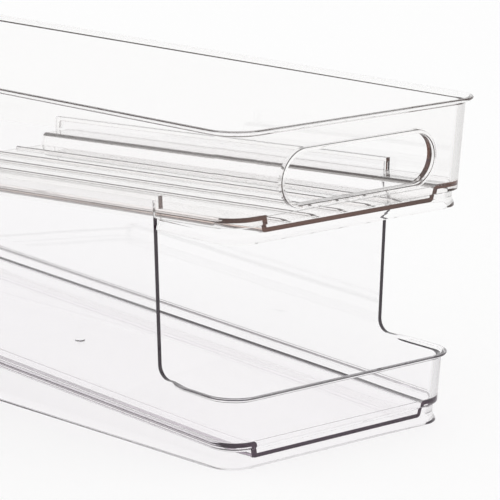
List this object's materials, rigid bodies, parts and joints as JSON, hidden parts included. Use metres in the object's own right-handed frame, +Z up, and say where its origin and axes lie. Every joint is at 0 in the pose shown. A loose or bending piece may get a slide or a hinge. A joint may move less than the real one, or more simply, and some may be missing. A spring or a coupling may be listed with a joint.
{
  "type": "fridge can organizer",
  "caption": "Clear stacked fridge bin: cans roll back along a ribbed upper tray with a handle slot, drop at its rear and roll forward to a low front wall.",
  "frame": {"origin": "centre of the bounding box in plan, on the shelf that the bin's toe rests on", "axes": "+Z up, -Y towards the low front wall where the cans are taken out, +X to the right across the width"},
  "size_m": [0.161, 0.4148, 0.16],
  "materials": {
    "bin_plastic": "clear, glossy",
    "tray_plastic": "clear, glossy"
  },
  "bodies": {
    "root": {"lower_bin": "bin_plastic", "upper_tray": "tray_plastic"}
  },
  "joints": []
}
